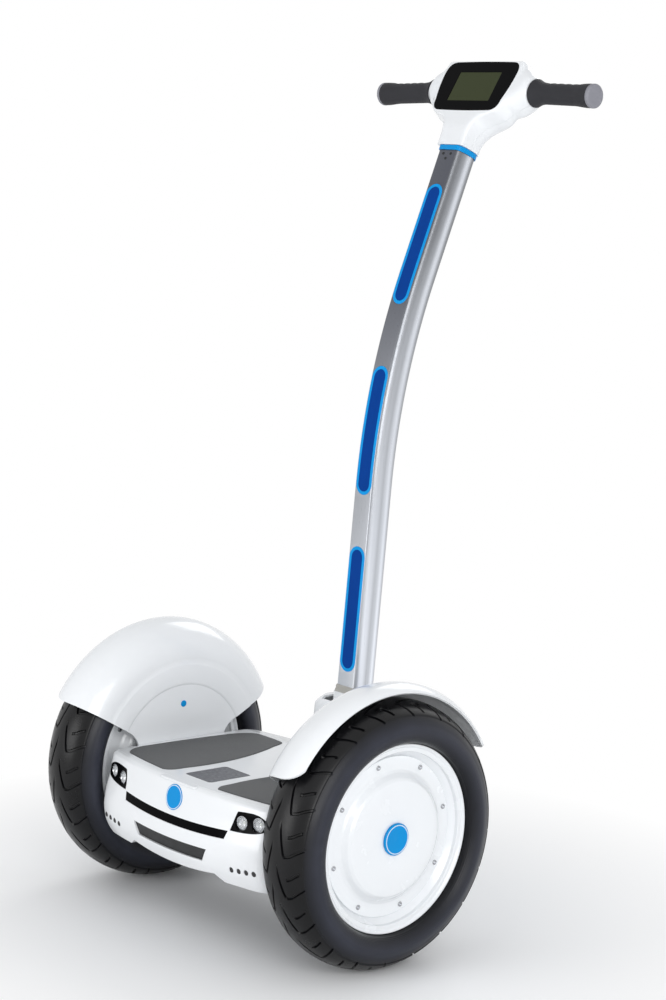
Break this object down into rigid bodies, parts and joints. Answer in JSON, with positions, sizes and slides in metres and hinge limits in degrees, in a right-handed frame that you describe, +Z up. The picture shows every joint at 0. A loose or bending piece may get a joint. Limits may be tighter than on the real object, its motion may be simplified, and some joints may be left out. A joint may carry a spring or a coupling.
{
  "type": "hoverboard",
  "caption": "Two-wheeled self-balancing stand-on scooter with a white deck body, pneumatic tyres under fenders and a tall curved column that leans from side to side.",
  "frame": {"origin": "on the ground, under the middle of the scooter's outline seen from above", "axes": "+X to the rider's right, +Y forwards, +Z up; the deck is level and both wheels stand on z = 0"},
  "size_m": [0.626, 0.6208, 1.3186],
  "materials": {
    "white_shell": "gloss",
    "painted_rim": "gloss",
    "black_gloss": "gloss",
    "dark_plastic": "satin",
    "mat_rubber": "matte",
    "grip_rubber": "matte",
    "grip_cap": "matte",
    "tyre": "matte",
    "silver_tube": "satin",
    "cast_metal": "satin",
    "steel": "satin",
    "blue_gloss": "gloss",
    "light_strip": "gloss",
    "clear_lens": "gloss",
    "lcd": "satin",
    "battery": "satin"
  },
  "bodies": {
    "chassis": {"deck_shell": "white_shell", "foot_mat_right": "mat_rubber", "foot_mat_left": "mat_rubber", "deck_plate": "cast_metal", "rear_fascia": "white_shell", "rear_badge": "blue_gloss", "dark_bar": "black_gloss", "vent_panel": "dark_plastic", "lamp_housing_right": "black_gloss", "lamp_lens_right": "clear_lens", "lamp_housing_left": "black_gloss", "lamp_lens_left": "clear_lens", "neck_housing": "white_shell", "front_cowl": "white_shell", "charge_socket": "dark_plastic", "belly_tub": "dark_plastic", "chassis_frame": "cast_metal", "battery_pack": "battery", "motor_controller": "cast_metal", "lean_bracket": "steel", "lean_pin": "steel", "fender_right": "white_shell", "fender_left": "white_shell", "axle_right": "steel", "motor_stator_right": "steel", "axle_clamp_right": "cast_metal", "axle_left": "steel", "motor_stator_left": "steel", "axle_clamp_left": "cast_metal"},
    "column": {"lean_drum": "cast_metal", "lean_bush": "grip_rubber", "pole": "silver_tube", "light_strip_lower": "light_strip", "light_strip_middle": "light_strip", "light_strip_upper": "light_strip", "collar_ring": "blue_gloss", "head_rear_shell": "white_shell", "head_front_shell": "white_shell", "display_glass": "black_gloss", "lcd_module": "lcd", "handlebar_tube": "steel", "grip_right": "grip_rubber", "grip_cap_right": "grip_cap", "grip_left": "grip_rubber", "grip_cap_left": "grip_cap"},
    "wheel_right": {"tyre_right": "tyre", "rim_right": "painted_rim", "hub_cover_outer_right": "painted_rim", "hub_cover_inner_right": "painted_rim", "hub_cap_right": "blue_gloss", "wheel_bearing_right": "steel"},
    "wheel_left": {"tyre_left": "tyre", "rim_left": "painted_rim", "hub_cover_outer_left": "painted_rim", "hub_cover_inner_left": "painted_rim", "hub_cap_left": "blue_gloss", "wheel_bearing_left": "steel"},
    "socket_flap": {"charge_flap": "grip_rubber"},
    "button": {"power_button": "blue_gloss"}
  },
  "joints": [
    {"name": "right_wheel_spin", "type": "hinge", "parent": "chassis", "child": "wheel_right", "pos_m": [0.26, -0.11287, 0.1975], "axis": [1, 0, 0], "continuous": true},
    {"name": "left_wheel_spin", "type": "hinge", "parent": "chassis", "child": "wheel_left", "pos_m": [-0.26, -0.11287, 0.1975], "axis": [1, 0, 0], "continuous": true},
    {"name": "column_lean", "type": "hinge", "parent": "chassis", "child": "column", "pos_m": [0, 0.06613, 0.28], "axis": [0, 1, 0], "range_deg": [-12, 12], "stiffness_Nm_per_rad": 60},
    {"name": "flap_hinge", "type": "hinge", "parent": "chassis", "child": "socket_flap", "pos_m": [0.112, 0.0599, 0.1874], "axis": [1, 0, 0], "range_deg": [0, 110]},
    {"name": "button_press", "type": "slide", "parent": "chassis", "child": "button", "axis": [0, -1, 0], "range_m": [0, 0.002], "stiffness_N_per_m": 400}
  ]
}
